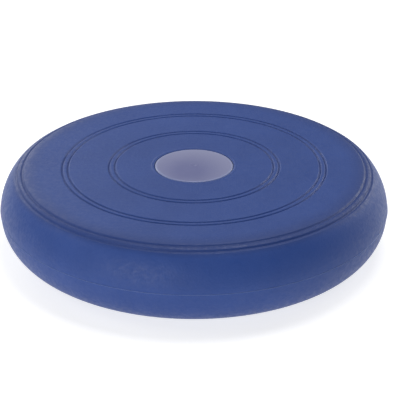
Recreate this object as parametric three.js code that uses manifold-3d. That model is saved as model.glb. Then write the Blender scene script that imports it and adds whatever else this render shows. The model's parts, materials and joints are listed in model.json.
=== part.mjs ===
// An air-filled balance cushion: a round, flat-topped disc of thick soft PVC that a user stands,
// kneels or sits on, so that its top face tilts and sinks on the air inside.
// Units are millimetres, +Z is up, and the origin is where the cushion's axis meets the floor.
import * as THREE from "three";
import { mergeVertices } from "three/addons/utils/BufferGeometryUtils.js";
import Module from "manifold-3d";

const wasm = await Module();
wasm.setup();

// ---- Driving dimensions -------------------------------------------------------------------

const RADIUS = 195; // over the weld bead, which is the widest line
const HEIGHT = 82.5; // from the floor to the top face
const NUB_HEIGHT = 2.5; // the nubs lift the underside off the floor by this much
const WALL = 3; // thickness of the PVC skin
const GAP = 0.3; // between pieces that are bonded or pressed together

const SEAM_Z = 43; // the plane in which the two shells are welded
const BEAD_PROUD = 0.5; // how far the weld bead stands out of the shells
const BEAD_WIDTH = 1.2;

const TOP = HEIGHT;
const BOTTOM = NUB_HEIGHT;
const SHELL_RADIUS = RADIUS - BEAD_PROUD;

// The top face is flat to FLAT_RADIUS, then falls ever more steeply to the shoulder.
const FLAT_RADIUS = 154;
const SHOULDER_RADIUS = 177.5;
const SHOULDER_DROP = 4.2;
const SHOULDER_POWER = 3.5;
const FOOT_RADIUS = 159; // the underside is flat to here

// Two walls run between the shoulder, the seam and the foot. A pull is the length of a
// curve's handle: how long it holds its direction as it leaves that end.
const SHOULDER_PULL = 10;
const UPPER_SEAM_PULL = 12.8;
const LOWER_SEAM_PULL = 26.8;
const FOOT_PULL = 16.2;

// Grip grooves, in concentric pairs.
const GROOVE_HALF_WIDTH = 1.7;
const GROOVE_DEPTH = 1.1;
const INNER_PAIRS = [79.5, 85.2, 126.3, 131.9];
const SHOULDER_PAIR = [171.6, SHOULDER_RADIUS];

// The round inlay in the middle of each face.
const MEDALLION_RADIUS = 38.8;
const MEDALLION_CHAMFER = 0.6;
const MEDALLION_REVEAL = 0.8; // the open ring between the inlay and its seat
const SEAT_DEPTH = 2.4;
const SEAT_BACKING = 2.6; // skin left behind the seat
const BACKING_EDGE = 2; // how far past the seat the thicker skin behind it reaches
const BACKING_FOOT = 5; // and where its slope has run out
const BASE_MEDALLION_SUNK = 0.5; // keeps the lower inlay clear of the floor between the nubs
const DIMPLE_RADIUS = 4.5;
const DIMPLE_DEPTH = 0.4;

// Massage nubs under the cushion: [ring radius, how many].
const NUB_RINGS = [[51, 14], [66, 18], [96, 26], [112, 30], [144, 40]];
const NUB_BASE_RADIUS = 5;
const NUB_TIP_RADIUS = 2.6;
const NUB_SIDES = 6;

// The inflation valve, in the lower wall at the back. Depths run inwards from the skin.
const VALVE_PLACE = 0.33; // its share of the way along the lower wall, from the seam
const BOSS_RADIUS = 11.5; // a flat-faced thickening of the skin that the valve sits in
const BOSS_DEPTH = 6;
const FLANGE_RADIUS = 10;
const FLANGE_THICKNESS = 1.4;
const FLANGE_PROUD = 0.3;
const FLANGE_CHAMFER = 0.7;
const BARREL_RADIUS = 6.5;
const BARREL_LENGTH = 17;
const BORE_RADIUS = 4.4;
const BORE_DEPTH = 9;
const BORE_CHAMFER = 0.5;
const CORE_LENGTH = 6;
const NEEDLE_BORE_RADIUS = 0.8;
const NEEDLE_FUNNEL = { spread: 1.2, depth: 1 }; // guides the needle into the core
const CORE_THROAT_RADIUS = 2.6; // the opening behind the core, into the air chamber
const PLUG_HEAD_RADIUS = 7.6;
const PLUG_HEAD_THICKNESS = 2;
const PLUG_HEAD_CHAMFER = 0.7;
const PLUG_SHANK_RADIUS = 3.5;
const PLUG_TIP_CHAMFER = 1;
const PLUG_LENGTH = 8;
const PLUG_RIB = { radius: 4.05, foot: 0.8, crest: 0.2 }; // foot and crest are half widths
const PLUG_RIB_PLACES = [2.6, 5]; // from the tip
const PLUG_TAB = { width: 7, reach: 3, thickness: 1.2 }; // the lip that a fingernail lifts

const SKIN_SEGMENTS = 60;
const INLAY_SEGMENTS = 40;
const VALVE_SEGMENTS = 24;

// ---- Materials ----------------------------------------------------------------------------

const finish = (color, roughness) =>
  new THREE.MeshStandardMaterial({ color, roughness, metalness: 0 });

const skinBlue = finish(0x3c4f92, 0.55);
const weldBlue = finish(0x435699, 0.45);
const inlayGrey = finish(0x8a8cab, 0.35);
const valvePale = finish(0xd9dade, 0.45);
const coreBlack = finish(0x26282c, 0.7);

// ---- Geometry helpers ---------------------------------------------------------------------

const at = (r, z) => new THREE.Vector2(r, z);

// A body of revolution about Z. The outline runs anticlockwise, seen with r to the right.
const turned = (outline, segments) =>
  new THREE.LatheGeometry(outline, segments).rotateX(Math.PI / 2);

const ring = (outline, segments) => turned([...outline, outline[0]], segments);

function solid(geometry) {
  const bare = new THREE.BufferGeometry();
  bare.setAttribute("position", geometry.getAttribute("position"));
  bare.setIndex(geometry.getIndex());
  const merged = mergeVertices(bare, 1e-3);
  return new wasm.Manifold(
    new wasm.Mesh({
      numProp: 3,
      vertProperties: merged.getAttribute("position").array,
      triVerts: new Uint32Array(merged.getIndex().array),
    }),
  );
}

function geometryOf(manifold) {
  const mesh = manifold.getMesh();
  const geometry = new THREE.BufferGeometry();
  geometry.setAttribute("position", new THREE.BufferAttribute(mesh.vertProperties, 3));
  geometry.setIndex(new THREE.BufferAttribute(mesh.triVerts, 1));
  geometry.computeVertexNormals();
  return geometry;
}

const cylinder = (radius, low, high) =>
  new THREE.CylinderGeometry(radius, radius, high - low, VALVE_SEGMENTS)
    .rotateX(Math.PI / 2)
    .translate(0, 0, (low + high) / 2);

function named(name, geometry, material) {
  const mesh = new THREE.Mesh(geometry, material);
  mesh.name = name;
  return mesh;
}

// ---- The skin's outline -------------------------------------------------------------------

const TURN = SHOULDER_RADIUS - FLAT_RADIUS; // the width of the band in which the top turns down

const topHeight = (r) =>
  TOP - SHOULDER_DROP * (Math.max(0, r - FLAT_RADIUS) / TURN) ** SHOULDER_POWER;

const shoulderSlope = Math.atan((SHOULDER_DROP * SHOULDER_POWER) / TURN);

const upperWall = new THREE.CubicBezierCurve(
  at(SHOULDER_RADIUS, TOP - SHOULDER_DROP),
  at(
    SHOULDER_RADIUS + SHOULDER_PULL * Math.cos(shoulderSlope),
    TOP - SHOULDER_DROP - SHOULDER_PULL * Math.sin(shoulderSlope),
  ),
  at(SHELL_RADIUS, SEAM_Z + UPPER_SEAM_PULL),
  at(SHELL_RADIUS, SEAM_Z),
);

const lowerWall = new THREE.CubicBezierCurve(
  at(SHELL_RADIUS, SEAM_Z),
  at(SHELL_RADIUS, SEAM_Z - LOWER_SEAM_PULL),
  at(FOOT_RADIUS + FOOT_PULL, BOTTOM),
  at(FOOT_RADIUS, BOTTOM),
);

// The outward normal of a wall that is drawn downwards.
function wallNormal(curve, t) {
  const along = curve.getTangent(t);
  return at(-along.y, along.x);
}

const wallPoints = (curve, shares, inset = 0) =>
  shares.map((t) => curve.getPoint(t).addScaledVector(wallNormal(curve, t), -inset));

// Three points across a groove of the top face, or of the underside if `up` is -1.
const groove = (radius, height, up) => [
  at(radius - GROOVE_HALF_WIDTH, height(radius - GROOVE_HALF_WIDTH)),
  at(radius, height(radius) - up * GROOVE_DEPTH),
  at(radius + GROOVE_HALF_WIDTH, height(radius + GROOVE_HALF_WIDTH)),
];

const SEAT_RADIUS = MEDALLION_RADIUS + MEDALLION_REVEAL;
const RIM_LIFT = BEAD_WIDTH / 2 + GAP; // each shell's rim stops this far from the seam plane

// Each shell's rim is cut square across its wall.
const rim = (up) => [
  at(SHELL_RADIUS, SEAM_Z + up * RIM_LIFT),
  at(SHELL_RADIUS - WALL, SEAM_Z + up * RIM_LIFT),
];

// ---- Shells -------------------------------------------------------------------------------

function upperShell() {
  const seatFloor = TOP - SEAT_DEPTH;
  const ceiling = TOP - WALL;
  const backing = seatFloor - SEAT_BACKING;
  const turnRadius = (FLAT_RADIUS + SHOULDER_RADIUS) / 2;
  const outside = [
    at(0, seatFloor),
    at(SEAT_RADIUS, seatFloor),
    at(SEAT_RADIUS, TOP),
    ...INNER_PAIRS.flatMap((r) => groove(r, topHeight, 1)),
    at(FLAT_RADIUS, TOP),
    at(turnRadius, topHeight(turnRadius)),
    ...groove(SHOULDER_PAIR[0], topHeight, 1),
    ...groove(SHOULDER_PAIR[1], topHeight, 1).slice(0, 2), // the wall is its outer edge
    ...wallPoints(upperWall, [0.06, 0.22, 0.4, 0.58, 0.78]),
  ];
  const inside = [
    ...wallPoints(upperWall, [0.78, 0.4, 0], WALL),
    at(turnRadius, ceiling),
    at(SEAT_RADIUS + BACKING_FOOT, ceiling),
    at(SEAT_RADIUS + BACKING_EDGE, backing),
    at(0, backing),
  ];
  return turned([...outside, ...rim(1), ...inside].reverse(), SKIN_SEGMENTS);
}

function nub(radius, angle) {
  const height = BOTTOM + WALL / 2;
  const spread = NUB_TIP_RADIUS + ((NUB_BASE_RADIUS - NUB_TIP_RADIUS) * height) / BOTTOM;
  return new THREE.CylinderGeometry(spread, NUB_TIP_RADIUS, height, NUB_SIDES)
    .rotateX(Math.PI / 2)
    .translate(radius, 0, height / 2)
    .rotateZ(angle);
}

function lowerShell(valveFrame) {
  const seatFloor = BOTTOM + SEAT_DEPTH;
  const floor = BOTTOM + WALL;
  const backing = seatFloor + SEAT_BACKING;
  const outside = [
    at(0, seatFloor),
    at(SEAT_RADIUS, seatFloor),
    at(SEAT_RADIUS, BOTTOM),
    ...INNER_PAIRS.flatMap((r) => groove(r, () => BOTTOM, -1)),
    ...wallPoints(lowerWall, [1, 0.8, 0.62, 0.46, 0.3, 0.14]),
  ];
  const inside = [
    ...wallPoints(lowerWall, [0.2, 0.46, 0.7], WALL),
    at(FOOT_RADIUS, floor),
    at(SEAT_RADIUS + BACKING_FOOT, floor),
    at(SEAT_RADIUS + BACKING_EDGE, backing),
    at(0, backing),
  ];
  let shell = solid(turned([...outside, ...rim(-1), ...inside], SKIN_SEGMENTS));
  for (const [radius, count] of NUB_RINGS)
    for (let i = 0; i < count; i++)
      shell = shell.add(solid(nub(radius, (2 * Math.PI * i) / count)));
  const boss = cylinder(BOSS_RADIUS, -BOSS_DEPTH, -GAP);
  const seat = ring(
    [
      at(0, -BARREL_LENGTH),
      at(BARREL_RADIUS + GAP, -BARREL_LENGTH),
      at(BARREL_RADIUS + GAP, -FLANGE_THICKNESS - GAP),
      at(FLANGE_RADIUS + GAP, -FLANGE_THICKNESS - GAP),
      at(FLANGE_RADIUS + GAP, FLANGE_RADIUS),
      at(0, FLANGE_RADIUS),
    ],
    VALVE_SEGMENTS,
  );
  shell = shell.add(solid(boss.applyMatrix4(valveFrame)));
  return geometryOf(shell.subtract(solid(seat.applyMatrix4(valveFrame))));
}

// The weld that joins the two rims, with its bead standing a little proud all round.
function seamWeld() {
  const half = BEAD_WIDTH / 2;
  return ring(
    [
      at(SHELL_RADIUS - WALL, SEAM_Z - half),
      at(SHELL_RADIUS, SEAM_Z - half),
      at(RADIUS, SEAM_Z - half / 2),
      at(RADIUS, SEAM_Z + half / 2),
      at(SHELL_RADIUS, SEAM_Z + half),
      at(SHELL_RADIUS - WALL, SEAM_Z + half),
    ],
    SKIN_SEGMENTS,
  );
}

// An inlay lying face up, with its back at z = 0 and a shallow moulding dimple in its face.
function medallion(thickness) {
  return turned(
    [
      at(0, 0),
      at(MEDALLION_RADIUS, 0),
      at(MEDALLION_RADIUS, thickness - MEDALLION_CHAMFER),
      at(MEDALLION_RADIUS - MEDALLION_CHAMFER, thickness),
      at(DIMPLE_RADIUS, thickness),
      at(DIMPLE_RADIUS / 2, thickness - DIMPLE_DEPTH),
      at(0, thickness - DIMPLE_DEPTH),
    ],
    INLAY_SEGMENTS,
  );
}

// ---- Valve --------------------------------------------------------------------------------

function valveHousing() {
  const coreSeat = -BORE_DEPTH - CORE_LENGTH - GAP;
  return ring(
    [
      at(CORE_THROAT_RADIUS, -BARREL_LENGTH),
      at(BARREL_RADIUS, -BARREL_LENGTH),
      at(BARREL_RADIUS, -FLANGE_THICKNESS),
      at(FLANGE_RADIUS, -FLANGE_THICKNESS),
      at(FLANGE_RADIUS, FLANGE_PROUD - FLANGE_CHAMFER),
      at(FLANGE_RADIUS - FLANGE_CHAMFER, FLANGE_PROUD),
      at(BORE_RADIUS + BORE_CHAMFER, FLANGE_PROUD),
      at(BORE_RADIUS, FLANGE_PROUD - BORE_CHAMFER),
      at(BORE_RADIUS, coreSeat),
      at(CORE_THROAT_RADIUS, coreSeat),
    ],
    VALVE_SEGMENTS,
  );
}

// A rubber plug that closes on itself when the pump's needle is drawn out of it.
function valveCore() {
  return ring(
    [
      at(NEEDLE_BORE_RADIUS, -BORE_DEPTH - CORE_LENGTH),
      at(BORE_RADIUS - GAP, -BORE_DEPTH - CORE_LENGTH),
      at(BORE_RADIUS - GAP, -BORE_DEPTH),
      at(NEEDLE_BORE_RADIUS + NEEDLE_FUNNEL.spread, -BORE_DEPTH),
      at(NEEDLE_BORE_RADIUS, -BORE_DEPTH - NEEDLE_FUNNEL.depth),
    ],
    VALVE_SEGMENTS,
  );
}

function valvePlug() {
  const face = FLANGE_PROUD + GAP; // the head's underside rests on the flange
  const back = face + PLUG_HEAD_THICKNESS;
  const tip = face - PLUG_LENGTH;
  const rib = (z) => [
    at(PLUG_SHANK_RADIUS, z - PLUG_RIB.foot),
    at(PLUG_RIB.radius, z - PLUG_RIB.crest),
    at(PLUG_RIB.radius, z + PLUG_RIB.crest),
    at(PLUG_SHANK_RADIUS, z + PLUG_RIB.foot),
  ];
  const body = turned(
    [
      at(0, tip),
      at(PLUG_SHANK_RADIUS - PLUG_TIP_CHAMFER, tip),
      at(PLUG_SHANK_RADIUS, tip + PLUG_TIP_CHAMFER),
      ...PLUG_RIB_PLACES.flatMap((place) => rib(tip + place)),
      at(PLUG_SHANK_RADIUS, face),
      at(PLUG_HEAD_RADIUS, face),
      at(PLUG_HEAD_RADIUS, back - PLUG_HEAD_CHAMFER),
      at(PLUG_HEAD_RADIUS - PLUG_HEAD_CHAMFER, back),
      at(0, back),
    ],
    VALVE_SEGMENTS,
  );
  const tab = new THREE.BoxGeometry(PLUG_TAB.width, PLUG_TAB.reach * 2, PLUG_TAB.thickness)
    .translate(0, PLUG_HEAD_RADIUS, back - PLUG_HEAD_CHAMFER - PLUG_TAB.thickness / 2);
  return geometryOf(solid(body).add(solid(tab)));
}

// ---- Assembly -----------------------------------------------------------------------------

// The valve's own frame: its +Z is the skin's outward normal, at the back of the lower wall.
const valveSpot = lowerWall.getPoint(VALVE_PLACE);
const valveOut = wallNormal(lowerWall, VALVE_PLACE);
const valve = new THREE.Group();
valve.position.set(0, valveSpot.x, valveSpot.y);
valve.rotation.x = -Math.atan2(valveOut.x, valveOut.y);
valve.updateMatrix();
valve.add(
  named("valve_housing", valveHousing(), valvePale),
  named("valve_core", valveCore(), coreBlack),
  named("valve_plug", valvePlug(), valvePale),
);

const topMedallion = named("top_medallion", medallion(SEAT_DEPTH - GAP), inlayGrey);
topMedallion.position.z = TOP - SEAT_DEPTH + GAP;

const baseMedallion = named(
  "base_medallion",
  medallion(SEAT_DEPTH - GAP - BASE_MEDALLION_SUNK),
  inlayGrey,
);
baseMedallion.rotation.x = Math.PI;
baseMedallion.position.z = BOTTOM + SEAT_DEPTH - GAP;

const cushion = new THREE.Group();
cushion.add(
  named("lower_shell", lowerShell(valve.matrix), skinBlue),
  named("seam_weld", seamWeld(), weldBlue),
  named("upper_shell", upperShell(), skinBlue),
  topMedallion,
  baseMedallion,
  valve,
);

export default cushion;
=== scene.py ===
"""The looks of an air-filled balance cushion: two moulded halves of blue PVC skin joined by a
weld, a milky inlay in each face, massage nubs underneath and a needle valve at the back.
Every piece stands for a CAD node, and every piece but the two skins rides on a body. Lengths are in
metres."""
import json
import math

import bmesh
import bpy
import numpy as np
from mathutils import Matrix, Vector


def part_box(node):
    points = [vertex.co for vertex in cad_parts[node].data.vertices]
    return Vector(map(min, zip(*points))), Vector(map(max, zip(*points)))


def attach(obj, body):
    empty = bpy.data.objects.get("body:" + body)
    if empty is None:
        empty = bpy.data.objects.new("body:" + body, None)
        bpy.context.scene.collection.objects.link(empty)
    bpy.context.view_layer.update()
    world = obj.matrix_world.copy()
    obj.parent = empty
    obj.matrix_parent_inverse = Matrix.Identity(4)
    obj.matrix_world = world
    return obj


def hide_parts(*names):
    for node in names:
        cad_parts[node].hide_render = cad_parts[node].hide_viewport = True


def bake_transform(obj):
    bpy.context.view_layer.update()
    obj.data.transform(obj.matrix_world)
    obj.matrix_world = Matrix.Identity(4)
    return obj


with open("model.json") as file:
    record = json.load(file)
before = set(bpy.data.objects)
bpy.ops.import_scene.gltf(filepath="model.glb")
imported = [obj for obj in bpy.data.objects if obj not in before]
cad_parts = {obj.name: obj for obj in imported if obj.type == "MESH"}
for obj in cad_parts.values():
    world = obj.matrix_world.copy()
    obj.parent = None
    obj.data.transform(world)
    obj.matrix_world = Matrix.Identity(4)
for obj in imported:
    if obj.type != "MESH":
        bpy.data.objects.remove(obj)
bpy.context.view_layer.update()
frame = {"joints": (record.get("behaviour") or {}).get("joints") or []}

MM = 0.001


# ---- Driving dimensions --------------------------------------------------------------------

# From the frame.
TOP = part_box("upper_shell")[1][2]
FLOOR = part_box("lower_shell")[0][2]
SHELL_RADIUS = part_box("upper_shell")[1][0]
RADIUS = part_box("seam_weld")[1][0]
SEAM_Z = (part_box("seam_weld")[0][2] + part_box("seam_weld")[1][2]) / 2
INLAY_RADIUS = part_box("top_medallion")[1][0]
INLAY_TOP_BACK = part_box("top_medallion")[0][2]
INLAY_BASE_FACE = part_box("base_medallion")[0][2]
INLAY_BASE_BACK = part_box("base_medallion")[1][2]
VALVE_AXIS = Vector(next(j["axis"] for j in frame["joints"] if j["name"] == "plug_pull"))

# The same as the CAD model's.
NUB_HEIGHT = 2.5 * MM
WALL = 3 * MM
FLAT_RADIUS = 154 * MM
SHOULDER_RADIUS = 177.5 * MM
SHOULDER_DROP = 4.2 * MM
SHOULDER_POWER = 3.5
FOOT_RADIUS = 159 * MM
SHOULDER_PULL = 10 * MM  # the pulls are the lengths of the Bezier handles
UPPER_SEAM_PULL = 12.8 * MM
LOWER_SEAM_PULL = 26.8 * MM
FOOT_PULL = 16.2 * MM
INNER_PAIRS = [79.5 * MM, 85.2 * MM, 126.3 * MM, 131.9 * MM]
SHOULDER_PAIR = [171.6 * MM, SHOULDER_RADIUS]
# Each ring's radius and number of nubs.
NUB_RINGS = [(51 * MM, 14), (66 * MM, 18), (96 * MM, 26), (112 * MM, 30), (144 * MM, 40)]
NUB_TIP = 2.6 * MM
NUB_FOOT = 5 * MM
VALVE_PLACE = 0.33  # share of the lower wall's curve
FLANGE_RADIUS = 10 * MM
FLANGE_BACK = -1.4 * MM
BARREL_RADIUS = 6.5 * MM
BARREL_END = -17 * MM
BORE_RADIUS = 4.4 * MM
CORE_FACE = -9 * MM
CORE_BACK = -15 * MM
CORE_THROAT = 2.6 * MM
FIT_GAP = 0.3 * MM

# Only for the looks.
INNER_GROOVE = (1.7 * MM, 1.6 * MM)  # half width and depth
SHOULDER_GROOVE = (2.3 * MM, 0.9 * MM)
FINE_STEP = 0.3 * MM  # between points near a groove
SEAT_GAP = 0.8 * MM  # round an inlay
EDGE_GAP = 0.6 * MM  # what shows of it, because the inlay has spread in its seat
INLAY_PROUD = 0.15 * MM
SEAT_FILLET = 0.6 * MM
LIP_HEIGHT = 0.3 * MM
LIP_HALF_WIDTH = 1.6 * MM
RIM_GAP = 0.3 * MM
BOSS_INNER = 11.5 * MM  # the boss is flat to here
BOSS_OUTER = 17 * MM  # and has faded into the wall by here
BOSS_LEVEL = -0.2 * MM
BEAD_OVERLAP = 0.03 * MM
BEAD_UNEVEN = 0.25 * MM
DIMPLE = (2.4 * MM, 0.35 * MM)  # half width and depth
DIMPLE_RIM = (1.3 * MM, 0.1 * MM)  # half width and height
INLAY_SOFT = 1 * MM
INLAY_FALL = 0.2 * MM
FOOT_PAINTED_SHADE = 0.35  # share of painted shade that the skin takes on at the foot
SHOULDER_PAINTED_SHADE = 0.5  # and over the shoulder
COLUMNS = 256  # of points, round the cushion

BASE_GROOVES = [(r, *INNER_GROOVE) for r in INNER_PAIRS]
TOP_GROOVES = [*BASE_GROOVES, *[(r, *SHOULDER_GROOVE) for r in SHOULDER_PAIR]]
BOTTOM = FLOOR + NUB_HEIGHT
SEAT_RADIUS = INLAY_RADIUS + SEAT_GAP
TURN = SHOULDER_RADIUS - FLAT_RADIUS


# ---- Outlines ------------------------------------------------------------------------------

def bezier(ends, count):
    """Points along a cubic Bezier curve, both ends included."""
    a, b, c, d = (np.array(point) for point in ends)
    t = np.linspace(0, 1, count)[:, None]
    return a * (1 - t) ** 3 + 3 * b * t * (1 - t) ** 2 + 3 * c * t**2 * (1 - t) + d * t**3


def top_height(r):
    """The top face is flat, then falls ever more steeply to the shoulder."""
    return TOP - SHOULDER_DROP * (np.maximum(0, r - FLAT_RADIUS) / TURN) ** SHOULDER_POWER


SHOULDER_SLOPE = math.atan(SHOULDER_DROP * SHOULDER_POWER / TURN)
UPPER_WALL = [
    (SHOULDER_RADIUS, TOP - SHOULDER_DROP),
    (
        SHOULDER_RADIUS + SHOULDER_PULL * math.cos(SHOULDER_SLOPE),
        TOP - SHOULDER_DROP - SHOULDER_PULL * math.sin(SHOULDER_SLOPE),
    ),
    (SHELL_RADIUS, SEAM_Z + UPPER_SEAM_PULL),
    (SHELL_RADIUS, SEAM_Z),
]
LOWER_WALL = [
    (SHELL_RADIUS, SEAM_Z),
    (SHELL_RADIUS, SEAM_Z - LOWER_SEAM_PULL),
    (FOOT_RADIUS + FOOT_PULL, BOTTOM),
    (FOOT_RADIUS, BOTTOM),
]


def normals(line):
    """The left-hand normals of a line of points, one for each point."""
    along = np.gradient(line, axis=0)
    along /= np.linalg.norm(along, axis=1)[:, None]
    return np.column_stack([-along[:, 1], along[:, 0]])


def hump(distance, half_width):
    """1 in the middle, falling smoothly to 0 at half_width."""
    return 0.5 + 0.5 * np.cos(math.pi * np.clip(np.abs(distance) / half_width, 0, 1))


def run_of(line):
    """How far along the line each of its points is."""
    return np.concatenate([[0], np.cumsum(np.linalg.norm(np.diff(line, axis=0), axis=1))])


def place_of(line, radius):
    """How far along the line it reaches the radius. The line only goes outwards."""
    return float(np.interp(radius, line[:, 0], run_of(line)))


def resample(line, marks, coarse=3 * MM):
    """The line with points close together near the marks. A mark is (place along the line,
    reach, step). Returns the new points and their places."""
    run = run_of(line)
    places = [0.0]
    while places[-1] < run[-1]:
        here = places[-1]
        steps = [step + 0.35 * max(0.0, abs(here - place) - reach) for place, reach, step in marks]
        places.append(here + min([coarse, *steps]))
    places[-1] = run[-1]
    return np.column_stack([np.interp(places, run, line[:, k]) for k in (0, 1)]), np.array(places)


def grooved(line, grooves, side, marks=()):
    """The line with a lip at its start and grooves, each a (radius, half width, depth). side is
    1 where the outside lies to the line's left, and -1 to its right."""
    shapes = [(LIP_HALF_WIDTH, LIP_HALF_WIDTH, LIP_HEIGHT)]
    shapes += [(place_of(line, r), half_width, -depth) for r, half_width, depth in grooves]
    fine = [(place, half_width, FINE_STEP) for place, half_width, height in shapes]
    points, places = resample(line, [*fine, *marks])
    rise = sum(height * hump(places - place, half_width) for place, half_width, height in shapes)
    return points + side * normals(points) * rise[:, None]


def arc(centre, radius, start, end, count=6):
    """Points on an arc, between two angles in degrees."""
    turn = np.radians(np.linspace(start, end, count))
    return np.array(centre) + radius * np.column_stack([np.cos(turn), np.sin(turn)])


def rounded(corners, count=5):
    """An outline from (r, z, fillet radius) corners. Each corner with a fillet becomes an arc."""
    line = []
    for i, (r, z, fillet) in enumerate(corners):
        here = np.array([r, z])
        if fillet == 0:
            line.append(here)
            continue
        before = np.array(corners[i - 1][:2]) - here
        after = np.array(corners[(i + 1) % len(corners)][:2]) - here
        before /= np.linalg.norm(before)
        after /= np.linalg.norm(after)
        half = math.acos(before @ after) / 2
        back = fillet / math.tan(half)
        middle = here + (before + after) / np.linalg.norm(before + after) * fillet / math.sin(half)
        for t in np.linspace(0, 1, count):
            spoke = here + (before * (1 - t) + after * t) * back - middle
            line.append(middle + spoke / np.linalg.norm(spoke) * fillet)
    return np.array(line)


# ---- Meshes --------------------------------------------------------------------------------

def new_object(name, mesh):
    piece = bpy.data.objects.new(name, mesh)
    bpy.context.collection.objects.link(piece)
    return piece


def full_turn(count):
    """Evenly spaced angles, without the last, which would repeat the first."""
    return np.linspace(0, 2 * math.pi, count, endpoint=False)


def lathe(name, outline, angles=None, closed=False):
    """Revolves an outline of (r, z) points about Z. The outline runs anticlockwise, with r to
    the right, and a point on the axis becomes one vertex."""
    if angles is None:
        angles = full_turn(COLUMNS)
    mesh = bmesh.new()
    rows = []
    steps = np.linalg.norm(np.diff(outline, axis=0, prepend=[[-1, -1]]), axis=1)
    for r, z in np.array(outline)[steps > 1e-7]:
        if r < 1e-7:
            rows.append([mesh.verts.new((0, 0, z))] * len(angles))
        else:
            rows.append([mesh.verts.new((r * math.cos(a), r * math.sin(a), z)) for a in angles])
    pairs = list(zip(rows, rows[1:]))
    if closed:
        pairs.append((rows[-1], rows[0]))
    for low, high in pairs:
        for i in range(len(angles)):
            j = (i + 1) % len(angles)
            corners = [low[i], low[j], high[j], high[i]]
            mesh.faces.new(list(dict.fromkeys(corners)))
    data = bpy.data.meshes.new(name)
    mesh.to_mesh(data)
    mesh.free()
    return new_object(name, data)


def smooth(piece, sharp_from=50):
    piece.data.shade_smooth()
    piece.data.set_sharp_from_angle(angle=math.radians(sharp_from))
    return piece


def coordinates(piece):
    flat = np.empty(len(piece.data.vertices) * 3)
    piece.data.vertices.foreach_get("co", flat)
    return flat.reshape(-1, 3)


def move_points(piece, points):
    piece.data.vertices.foreach_set("co", points.ravel())
    piece.data.update()


def join(name, pieces):
    """Joins meshes into one object of that name."""
    whole = bmesh.new()
    for piece in pieces:
        whole.from_mesh(piece.data)
        bpy.data.objects.remove(piece)
    data = bpy.data.meshes.new(name)
    whole.to_mesh(data)
    whole.free()
    return new_object(name, data)


def cut(piece, tool):
    """Cuts the closed mesh tool out of the closed mesh piece."""
    step = piece.modifiers.new("cut", "BOOLEAN")
    step.operation = "DIFFERENCE"
    step.solver = "EXACT"
    step.object = tool
    result = bpy.data.meshes.new_from_object(piece.evaluated_get(bpy.context.evaluated_depsgraph_get()))
    piece.modifiers.clear()
    piece.data = result
    bpy.data.objects.remove(tool)


# ---- Materials -----------------------------------------------------------------------------

class Nodes:
    """A short way to write a node tree."""

    def __init__(self, name):
        self.material = bpy.data.materials.new(name)
        self.material.use_nodes = True
        self.tree = self.material.node_tree
        self.shader = self.tree.nodes["Principled BSDF"]

    def add(self, kind, settings=None, **inputs):
        node = self.tree.nodes.new(kind)
        for key, value in (settings or {}).items():
            setattr(node, key, value)
        for key, value in inputs.items():
            self.plug(node.inputs[key.replace("_", " ")], value)
        return node

    def plug(self, socket, value):
        if isinstance(value, bpy.types.NodeSocket):
            self.tree.links.new(value, socket)
        else:
            socket.default_value = value

    def place(self):
        return self.add("ShaderNodeTexCoord").outputs["Object"]

    def noise(self, scale, detail=3.0, roughness=0.5):
        node = self.add("ShaderNodeTexNoise", Vector=self.place(), Scale=scale, Detail=detail,
                        Roughness=roughness)
        return node.outputs["Fac"]

    def cells(self, scale):
        node = self.add("ShaderNodeTexVoronoi", {"feature": "SMOOTH_F1"}, Vector=self.place(),
                        Scale=scale, Smoothness=0.6)
        return node.outputs["Distance"]

    def remap(self, value, low, high, to_low, to_high):
        node = self.add("ShaderNodeMapRange")
        for key, number in (("Value", value), ("From Min", low), ("From Max", high),
                            ("To Min", to_low), ("To Max", to_high)):
            self.plug(node.inputs[key], number)
        return node.outputs["Result"]

    def mix(self, share, a, b):
        node = self.add("ShaderNodeMix", {"data_type": "RGBA"})
        for socket, value in ((0, share), (6, a), (7, b)):
            self.plug(node.inputs[socket], value)
        return node.outputs[2]

    def distance_from(self, x, y):
        """From an upright line."""
        flat = self.add("ShaderNodeVectorMath", {"operation": "MULTIPLY_ADD"})
        for socket, value in enumerate((self.place(), (1, 1, 0), (-x, -y, 0))):
            self.plug(flat.inputs[socket], value)
        length = self.add("ShaderNodeVectorMath", {"operation": "LENGTH"}, Vector=flat.outputs[0])
        return length.outputs["Value"]

    def bumped(self, height, distance, strength=1.0, under=None):
        node = self.add("ShaderNodeBump", Height=height, Distance=distance, Strength=strength)
        if under is not None:
            self.plug(node.inputs["Normal"], under)
        return node.outputs["Normal"]


def colour(r, g, b):
    """A linear colour from sRGB bytes."""
    linear = [((c / 255 + 0.055) / 1.055) ** 2.4 if c > 10 else c / 255 / 12.92 for c in (r, g, b)]
    return (*linear, 1.0)


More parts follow.
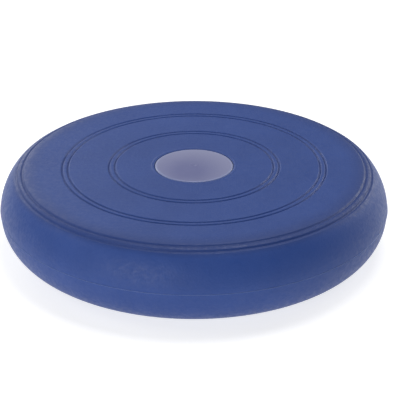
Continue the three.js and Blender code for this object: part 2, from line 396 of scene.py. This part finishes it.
def skin_material():
    """Soft PVC from a finely grained mould, slightly mottled, with rubbed patches, painted shade in its
    creases and a painted highlight on its edges, and painted shade towards the foot and over the
    shoulder.
    """
    n = Nodes("soft_pvc")
    mottle = n.noise(14, 4, 0.6)
    cloud = n.noise(55, 3, 0.6)
    base = n.mix(n.remap(mottle, 0.3, 0.7, 0, 1), colour(32, 63, 130), colour(38, 69, 138))
    base = n.mix(n.remap(cloud, 0.45, 0.8, 0, 0.3), base, colour(44, 73, 140))
    curve = n.add("ShaderNodeNewGeometry").outputs["Pointiness"]
    # Painted shade: darker in the creases and grooves, by the mesh's pointiness. Painted highlight:
    # lighter on its sharp convex edges.
    base = n.mix(n.remap(curve, 0.5, 0.45, 0, 0.45), base, colour(18, 42, 104))
    base = n.mix(n.remap(curve, 0.5, 0.54, 0, 0.3), base, colour(60, 88, 156))
    # Painted shade, darker towards the foot and over the shoulder, read from the note left on each
    # point of the skin.
    painted_shade = n.add("ShaderNodeAttribute", {"attribute_name": "painted_shade"}).outputs["Fac"]
    base = n.mix(painted_shade, base, colour(18, 42, 100))
    n.plug(n.shader.inputs["Base Color"], base)
    rough = n.remap(n.noise(240, 4, 0.75), 0.36, 0.62, 0.42, 0.64)
    n.plug(n.shader.inputs["Roughness"], rough)
    grain = n.cells(450)
    pores = n.noise(1400, 2, 0.5)
    normal = n.bumped(grain, 0.17 * MM, 0.7)
    normal = n.bumped(pores, 0.05 * MM, 0.6, normal)
    normal = n.bumped(n.noise(24, 2, 0.5), 0.3 * MM, 0.2, normal)
    n.plug(n.shader.inputs["Normal"], normal)
    n.shader.inputs["IOR"].default_value = 1.42
    n.shader.inputs["Sheen Weight"].default_value = 0.06
    n.shader.inputs["Sheen Roughness"].default_value = 0.5
    n.shader.inputs["Sheen Tint"].default_value = (0.75, 0.8, 1, 1)
    return n.material


def weld_material():
    """The same PVC, remelted: smoother, and painted a little lighter as a painted highlight along the
    seam, uneven along its length.
    """
    n = Nodes("weld_pvc")
    flow = n.noise(160, 3, 0.6)
    # Painted highlight: the weld is coloured paler than the skin so that the seam reads as a light
    # line.
    n.plug(n.shader.inputs["Base Color"], n.mix(flow, colour(66, 91, 152), colour(88, 112, 172)))
    n.plug(n.shader.inputs["Roughness"], n.remap(flow, 0.3, 0.7, 0.28, 0.5))
    n.plug(n.shader.inputs["Normal"], n.bumped(n.noise(420, 3, 0.6), 0.12 * MM, 0.8))
    return n.material


def inlay_material():
    """Milky, satin plastic, cloudy in places, with a painted reflection that lightens it towards the
    back, a painted highlight on its rim and fine rubbing.
    """
    n = Nodes("milky_inlay")
    cloud = n.remap(n.noise(24, 3, 0.55), 0.3, 0.7, 0, 1)
    base = n.mix(cloud, colour(103, 107, 149), colour(113, 117, 158))
    # Painted reflection: paler the further from a point in front of the middle, so the back of the disc
    # reads lighter.
    painted_reflection = n.remap(n.distance_from(-6 * MM, -14 * MM), 0.3 * INLAY_RADIUS, 1.3 * INLAY_RADIUS, 0, 1)
    base = n.mix(painted_reflection, base, colour(140, 143, 175))
    # Painted highlight: a paler ring along the rounded edge.
    rim = n.remap(n.distance_from(0, 0), 0.93 * INLAY_RADIUS, 0.99 * INLAY_RADIUS, 0, 0.4)
    base = n.mix(rim, base, colour(152, 166, 208))
    n.plug(n.shader.inputs["Base Color"], base)
    n.plug(n.shader.inputs["Roughness"], n.remap(n.noise(220, 2, 0.5), 0.3, 0.7, 0.34, 0.4))
    n.plug(n.shader.inputs["Normal"], n.bumped(n.noise(900, 2, 0.5), 0.02 * MM, 0.6))
    return n.material


def valve_material():
    """Pale, waxy stopper plastic."""
    n = Nodes("valve_plastic")
    cloud = n.noise(120, 3, 0.5)
    n.plug(n.shader.inputs["Base Color"], n.mix(cloud, colour(196, 198, 204), colour(222, 223, 227)))
    n.plug(n.shader.inputs["Roughness"], n.remap(n.noise(600, 3, 0.6), 0.3, 0.7, 0.34, 0.5))
    n.plug(n.shader.inputs["Normal"], n.bumped(n.noise(1500, 2, 0.5), 0.02 * MM, 0.6))
    n.shader.inputs["Subsurface Weight"].default_value = 0.2
    n.shader.inputs["Subsurface Scale"].default_value = 1 * MM
    return n.material


def core_material():
    """Matt black rubber, dusty with talc."""
    n = Nodes("core_rubber")
    dust = n.remap(n.noise(700, 4, 0.7), 0.5, 0.75, 0, 1)
    n.plug(n.shader.inputs["Base Color"], n.mix(dust, colour(34, 35, 38), colour(66, 67, 70)))
    n.plug(n.shader.inputs["Roughness"], n.remap(n.noise(900, 3, 0.6), 0.3, 0.7, 0.6, 0.8))
    n.plug(n.shader.inputs["Normal"], n.bumped(n.noise(1800, 2, 0.5), 0.03 * MM, 0.6))
    return n.material


def floor_material():
    """A white, lit-through sweep, clear from below so that the underside can be looked at."""
    n = Nodes("studio_floor")
    shade = n.mix(n.noise(3, 2, 0.5), (0.5, 0.5, 0.5, 1), (0.52, 0.52, 0.52, 1))
    n.plug(n.shader.inputs["Base Color"], shade)
    n.shader.inputs["Roughness"].default_value = 0.7
    n.shader.inputs["Emission Color"].default_value = (1, 1, 1, 1)
    n.shader.inputs["Emission Strength"].default_value = 0.72
    either = n.add("ShaderNodeMixShader", Fac=n.add("ShaderNodeNewGeometry").outputs["Backfacing"])
    n.plug(either.inputs[1], n.shader.outputs[0])
    n.plug(either.inputs[2], n.add("ShaderNodeBsdfTransparent").outputs[0])
    n.plug(n.tree.nodes["Material Output"].inputs["Surface"], either.outputs[0])
    return n.material


# ---- Skin ----------------------------------------------------------------------------------

def with_rim(outside, seam_side):
    """Turns the wall's end in at the seam, by a small radius and then the rim's flat land."""
    fillet = 0.08 * MM
    rim_z = SEAM_Z + seam_side * RIM_GAP
    centre = (SHELL_RADIUS - fillet, rim_z + seam_side * fillet)
    wall = outside[(outside[:, 1] - rim_z) * seam_side > fillet]
    return np.vstack([wall, arc(centre, fillet, 0, -90 * seam_side), [(SHELL_RADIUS - WALL, rim_z)]])


def inner_wall(curve):
    """A few points on the wall's inside, in the curve's direction, short of the seam."""
    line = bezier(curve, 60)
    inside = line - normals(line) * WALL
    return inside[np.abs(line[:, 1] - SEAM_Z) > 2 * MM][::9]


def mark_painted_shade(skin):
    """Notes on each point how much painted shade it takes, darker towards the foot and over the
    shoulder. The note stays with the skin when it bends."""
    points = coordinates(skin)
    across, height = np.hypot(points[:, 0], points[:, 1]), points[:, 2]
    foot = np.interp(height, [BOTTOM, SEAM_Z], [FOOT_PAINTED_SHADE, 0])
    shoulder = np.interp(across, [FLAT_RADIUS, SHOULDER_PAIR[0]], [0, SHOULDER_PAINTED_SHADE])
    shoulder *= np.interp(height, [TOP - 2 * SHOULDER_DROP, TOP - SHOULDER_DROP], [0, 1])
    skin.data.attributes.new("painted_shade", "FLOAT", "POINT").data.foreach_set("value", foot + shoulder)


def upper_skin():
    flat = np.linspace(SEAT_RADIUS + SEAT_FILLET, SHOULDER_RADIUS, 400)
    across = np.column_stack([flat, top_height(flat)])
    line = np.vstack([across, bezier(UPPER_WALL, 200)[1:]])
    seat_floor = INLAY_TOP_BACK - FIT_GAP
    outline = np.vstack([
        [(0, seat_floor), (SEAT_RADIUS, seat_floor)],
        arc((SEAT_RADIUS + SEAT_FILLET, TOP - SEAT_FILLET), SEAT_FILLET, 180, 90),
        with_rim(grooved(line, TOP_GROOVES, 1), 1),
        inner_wall(UPPER_WALL)[::-1],
        [(FLAT_RADIUS, TOP - WALL), (SEAT_RADIUS + 5 * MM, TOP - WALL)],
        [(SEAT_RADIUS + 2 * MM, seat_floor - WALL), (0, seat_floor - WALL)],
    ])
    skin = smooth(lathe("skin_upper", outline[::-1]))
    mark_painted_shade(skin)
    finish(skin, SKIN, "upper_shell")
    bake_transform(skin)


def nubs():
    """The massage nubs: low round studs with a flared foot that sinks into the panel."""
    outline = np.vstack([
        [(0, FLOOR)],
        arc((NUB_TIP - 1 * MM, FLOOR + 1 * MM), 1 * MM, -90, -20, 4),
        arc((NUB_FOOT, BOTTOM - 1.2 * MM), 1.2 * MM, 160, 90, 4),
        [(NUB_FOOT, BOTTOM + 0.5 * MM), (0, BOTTOM + 0.5 * MM)],
    ])
    for radius, count in NUB_RINGS:
        for turn in full_turn(count):
            nub = lathe("nub", outline, full_turn(16))
            place = Vector((radius * math.cos(turn), radius * math.sin(turn), 0))
            nub.data.transform(Matrix.Translation(place))
            yield nub


def raise_boss(skin):
    """Levels the skin round the valve into a flat round boss that fades into the wall."""
    points = coordinates(skin)
    axis = np.array(VALVE_AXIS)
    offset = points - np.array(VALVE_SPOT)
    height = offset @ axis
    across = np.linalg.norm(offset - height[:, None] * axis, axis=1)
    share = np.clip((BOSS_OUTER - across) / (BOSS_OUTER - BOSS_INNER), 0, 1)
    share = share * share * (3 - 2 * share)
    wall = bezier(LOWER_WALL[::-1], 100)
    wall_radius = np.interp(points[:, 2], wall[:, 1], wall[:, 0])
    outside = np.hypot(points[:, 0], points[:, 1]) > wall_radius - WALL / 2
    lift = np.where(outside, share * (BOSS_LEVEL - height), 0)
    move_points(skin, points + lift[:, None] * axis)


def lower_skin():
    flat = np.linspace(SEAT_RADIUS + SEAT_FILLET, FOOT_RADIUS, 400)
    under = np.column_stack([flat, np.full_like(flat, BOTTOM)])
    line = np.vstack([under, bezier(LOWER_WALL, 200)[::-1][1:]])
    near_valve = (place_of(line, VALVE_SPOT.y), 17 * MM, 0.9 * MM)
    seat_floor = INLAY_BASE_BACK + FIT_GAP
    outline = np.vstack([
        [(0, seat_floor), (SEAT_RADIUS, seat_floor)],
        arc((SEAT_RADIUS + SEAT_FILLET, BOTTOM + SEAT_FILLET), SEAT_FILLET, 180, 270),
        with_rim(grooved(line, BASE_GROOVES, -1, [near_valve]), -1),
        inner_wall(LOWER_WALL),
        [(SEAT_RADIUS + 5 * MM, BOTTOM + WALL)],
        [(SEAT_RADIUS + 2 * MM, seat_floor + WALL), (0, seat_floor + WALL)],
    ])
    by_valve = math.pi / 2 + np.linspace(-0.1, 0.1, 45)
    shell = lathe("shell", outline, np.unique(np.concatenate([full_turn(COLUMNS), by_valve])))
    raise_boss(shell)
    seat = rounded([
        (0, 1.3 * BARREL_END, 0),
        (BARREL_RADIUS + FIT_GAP, 1.3 * BARREL_END, 0),
        (BARREL_RADIUS + FIT_GAP, FLANGE_BACK - FIT_GAP, 0),
        (FLANGE_RADIUS + FIT_GAP, FLANGE_BACK - FIT_GAP, 0),
        (FLANGE_RADIUS + FIT_GAP, FLANGE_RADIUS, 0),
        (0, FLANGE_RADIUS, 0),
    ])
    cut(shell, on_valve(lathe("seat", seat, VALVE_ANGLES)))
    skin = smooth(join("skin_lower", [shell, *nubs()]))
    mark_painted_shade(skin)
    finish(skin, SKIN, "lower_shell")
    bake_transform(skin)


def weld_bead():
    """The weld stands proud between the rims and wanders a little in width and height."""
    half = RIM_GAP + BEAD_OVERLAP
    face = SHELL_RADIUS - 0.05 * MM
    crown = arc((0, 0), 1, -80, 80, 9) * (RADIUS - face, half) + (face, SEAM_Z)
    back = [(SHELL_RADIUS - WALL, SEAM_Z + half), (SHELL_RADIUS - WALL, SEAM_Z - half)]
    bead = lathe("weld_bead", np.vstack([crown, back]), full_turn(3 * COLUMNS), closed=True)
    points = coordinates(bead)
    turn = np.arctan2(points[:, 1], points[:, 0])
    uneven = 0.5 + 0.2 * np.sin(7 * turn) + 0.18 * np.sin(23 * turn + 1) + 0.12 * np.sin(61 * turn + 2)
    proud = np.hypot(points[:, 0], points[:, 1]) > face
    scale = np.where(proud, 1 - BEAD_UNEVEN / RADIUS * uneven, 1)
    points[:, :2] *= scale[:, None]
    move_points(bead, points)
    finish(smooth(bead), WELD, "seam_weld")
    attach(bead, "seam")


# ---- Inlays --------------------------------------------------------------------------------

def inlay(name, node, body, back, face):
    """A slightly domed disc with a soft edge and a gate dimple."""
    up = 1 if face > back else -1
    radius = SEAT_RADIUS - EDGE_GAP
    radii = np.concatenate([np.linspace(0, 7, 29), np.linspace(8, 34, 14)]) * MM
    dimple = DIMPLE[1] * hump(radii, DIMPLE[0])
    dimple_rim = DIMPLE_RIM[1] * hump(radii - 1.5 * DIMPLE[0], DIMPLE_RIM[0])
    fall = INLAY_FALL * (radii / radius) ** 2
    middle = np.column_stack([radii, face + up * (INLAY_PROUD - dimple + dimple_rim - fall)])
    edge_centre = (radius - INLAY_SOFT, middle[-1][1] - up * INLAY_SOFT)
    edge = arc(edge_centre, INLAY_SOFT, 88 * up, 0, 8)
    outline = np.vstack([middle, edge, [(radius, back), (0, back)]])
    disc = smooth(lathe(name, outline[::-1] if up > 0 else outline))
    finish(disc, INLAY, node)
    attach(disc, body)


# ---- Valve ---------------------------------------------------------------------------------

def on_valve(piece):
    """Moves a piece from the valve's own frame into the row's."""
    piece.data.transform(VALVE_FRAME)
    return piece


def valve_bush():
    """A flanged bush. A shallow ring is sunk in the flange's face, between its rim and its lip."""
    proud = ramp = 0.3 * MM
    rim = FLANGE_RADIUS - 1.8 * MM
    lip = BORE_RADIUS + 1.5 * MM
    outline = rounded([
        (CORE_THROAT, BARREL_END, 0),
        (BARREL_RADIUS, BARREL_END, 0.6 * MM),
        (BARREL_RADIUS, FLANGE_BACK, 0),
        (FLANGE_RADIUS, FLANGE_BACK, 0.3 * MM),
        (FLANGE_RADIUS, proud, 0.7 * MM),
        (rim, proud, 0.15 * MM),
        (rim - ramp, 0, 0.15 * MM),
        (lip, 0, 0.15 * MM),
        (lip - ramp, proud, 0.15 * MM),
        (BORE_RADIUS, proud, 0.25 * MM),
        (BORE_RADIUS, CORE_BACK - FIT_GAP, 0),
        (CORE_THROAT, CORE_BACK - FIT_GAP, 0.3 * MM),
    ])
    bush = smooth(on_valve(lathe("valve_bush", outline, VALVE_ANGLES, closed=True)))
    finish(bush, VALVE, "valve_housing")
    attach(bush, "base")


def valve_core():
    """A rubber plug with a fine bore for the needle and a funnel that leads into it."""
    needle = 0.8 * MM
    outline = rounded([
        (needle, CORE_BACK, 0),
        (BORE_RADIUS - FIT_GAP, CORE_BACK, 0.4 * MM),
        (BORE_RADIUS - FIT_GAP, CORE_FACE, 0.5 * MM),
        (needle + 1.4 * MM, CORE_FACE, 0.3 * MM),
        (needle, CORE_FACE - 1 * MM, 0),
    ])
    core = smooth(on_valve(lathe("valve_rubber", outline, VALVE_ANGLES, closed=True)))
    finish(core, CORE, "valve_core")
    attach(core, "base")


def pull_tab(root, top):
    """The lip that a fingernail lifts: a flat tongue with a round end and soft edges."""
    half_width, reach, thickness = 3.5 * MM, 3 * MM, 1.2 * MM
    end = arc((0, root + reach - half_width), half_width, 0, 180, 17)
    line = [(half_width, root - 2 * MM), *end, (-half_width, root - 2 * MM)]
    mesh = bmesh.new()
    face = mesh.faces.new([mesh.verts.new((x, y, top - thickness)) for x, y in line])
    raised = bmesh.ops.extrude_face_region(mesh, geom=[face])["geom"]
    moved = [v for v in raised if isinstance(v, bmesh.types.BMVert)]
    bmesh.ops.translate(mesh, vec=(0, 0, thickness), verts=moved)
    bmesh.ops.recalc_face_normals(mesh, faces=mesh.faces)
    edges = [e for e in mesh.edges if abs(e.verts[0].co.z - e.verts[1].co.z) < 1e-6]
    bmesh.ops.bevel(mesh, geom=edges, offset=0.35 * MM, segments=3, affect="EDGES", profile=0.5)
    data = bpy.data.meshes.new("tab")
    mesh.to_mesh(data)
    mesh.free()
    return new_object("tab", data)


def valve_stopper():
    """A ribbed shank under a broad, dished head with a pull tab."""
    head, shank, rib = 7.6 * MM, 3.5 * MM, 4.05 * MM
    face = FIT_GAP + 0.3 * MM
    back = face + 2 * MM
    tip = face - 8 * MM
    ribs = []
    for z in (tip + 2.6 * MM, tip + 5 * MM):
        ribs += [(shank, z - 0.8 * MM, 0.2 * MM), (rib, z, 0.25 * MM), (shank, z + 0.8 * MM, 0.2 * MM)]
    outline = rounded([
        (0, tip, 0),
        (shank, tip, 1 * MM),
        *ribs,
        (shank, face, 0.2 * MM),
        (head, face, 0.3 * MM),
        (head, back, 0.7 * MM),
        (head - 2.2 * MM, back, 0.3 * MM),
        (head - 2.6 * MM, back - 0.5 * MM, 0.3 * MM),
        (0, back - 0.5 * MM, 0),
    ])
    body = lathe("body", outline, VALVE_ANGLES)
    stopper = smooth(on_valve(join("valve_stopper", [body, pull_tab(head, back - 0.5 * MM)])))
    finish(stopper, VALVE, "valve_plug")
    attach(stopper, "plug")


# ---- Studio --------------------------------------------------------------------------------

CAMERA_DISTANCE = 1.586  # to the middle of the top face
CAMERA_ELEVATION = 24.8
CAMERA_AIM = Vector((6 * MM, 0, SEAM_Z + 0.7 * MM))
LENS = 142.5  # on a sensor 36 mm wide
CENTRE = Vector((0, 0, SEAM_Z))
SOFTBOX_SIZE = (1.6, 1.2)
SOFTBOX_DISTANCE = 3.2
FLOOR_REACH = 12
FLOOR_GAP = 0.1 * MM


def camera():
    """Looks from the front, down at the seam's middle, like the photograph's."""
    data = bpy.data.cameras.new("camera")
    data.lens = LENS
    data.sensor_width = 36
    data.clip_end = 50
    eye = new_object("camera", data)
    raised = math.radians(CAMERA_ELEVATION)
    eye.location = (0, -CAMERA_DISTANCE * math.cos(raised), TOP + CAMERA_DISTANCE * math.sin(raised))
    eye.rotation_euler = (CAMERA_AIM - eye.location).to_track_quat("-Z", "Y").to_euler()
    bpy.context.scene.camera = eye


def softbox(name, bearing, rise, power):
    """A rectangular light that faces the cushion. The bearing turns from +X to +Y, in degrees."""
    data = bpy.data.lights.new(name, "AREA")
    data.shape = "RECTANGLE"
    data.size, data.size_y = SOFTBOX_SIZE
    data.energy = power
    lamp = new_object(name, data)
    around, up = math.radians(bearing), math.radians(rise)
    way = Vector((math.cos(around) * math.cos(up), math.sin(around) * math.cos(up), math.sin(up)))
    lamp.location = CENTRE + SOFTBOX_DISTANCE * way
    lamp.rotation_euler = (-way).to_track_quat("-Z", "Y").to_euler()


def studio():
    level = FLOOR - FLOOR_GAP
    floor = lathe("floor", [(FLOOR_REACH, level), (0, level)], full_turn(64))
    floor.data.materials.append(floor_material())
    world = bpy.data.worlds.new("studio")
    world.use_nodes = True
    background = world.node_tree.nodes["Background"]
    background.inputs["Color"].default_value = (1, 1, 1, 1)
    background.inputs["Strength"].default_value = 0.16
    bpy.context.scene.world = world
    bpy.context.scene.view_settings.view_transform = "Standard"
    softbox("overhead", 60, 76, 50)
    softbox("left", 180, 38, 16)
    softbox("front_left", 240, 15, 35)
    softbox("back_right", 42, 20, 33)
    softbox("back_left", 118, 20, 26)


# ---- Assembly ------------------------------------------------------------------------------

def finish(piece, material, node):
    """Gives a piece its material and hides the CAD node that it stands for."""
    piece.data.materials.clear()
    piece.data.materials.append(material)
    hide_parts(node)


VALVE_SPOT = Vector((0, *bezier(LOWER_WALL, 1001)[round(1000 * VALVE_PLACE)]))
VALVE_LEAN = -math.atan2(VALVE_AXIS.y, VALVE_AXIS.z)
VALVE_FRAME = Matrix.Translation(VALVE_SPOT) @ Matrix.Rotation(VALVE_LEAN, 4, "X")
VALVE_ANGLES = full_turn(64)
SKIN = skin_material()
WELD = weld_material()
INLAY = inlay_material()
VALVE = valve_material()
CORE = core_material()

camera()
studio()
upper_skin()
lower_skin()
weld_bead()
inlay("inlay_top", "top_medallion", "top", INLAY_TOP_BACK, TOP)
inlay("inlay_base", "base_medallion", "base", INLAY_BASE_BACK, INLAY_BASE_FACE)
valve_bush()
valve_core()
valve_stopper()

bpy.context.view_layer.update()
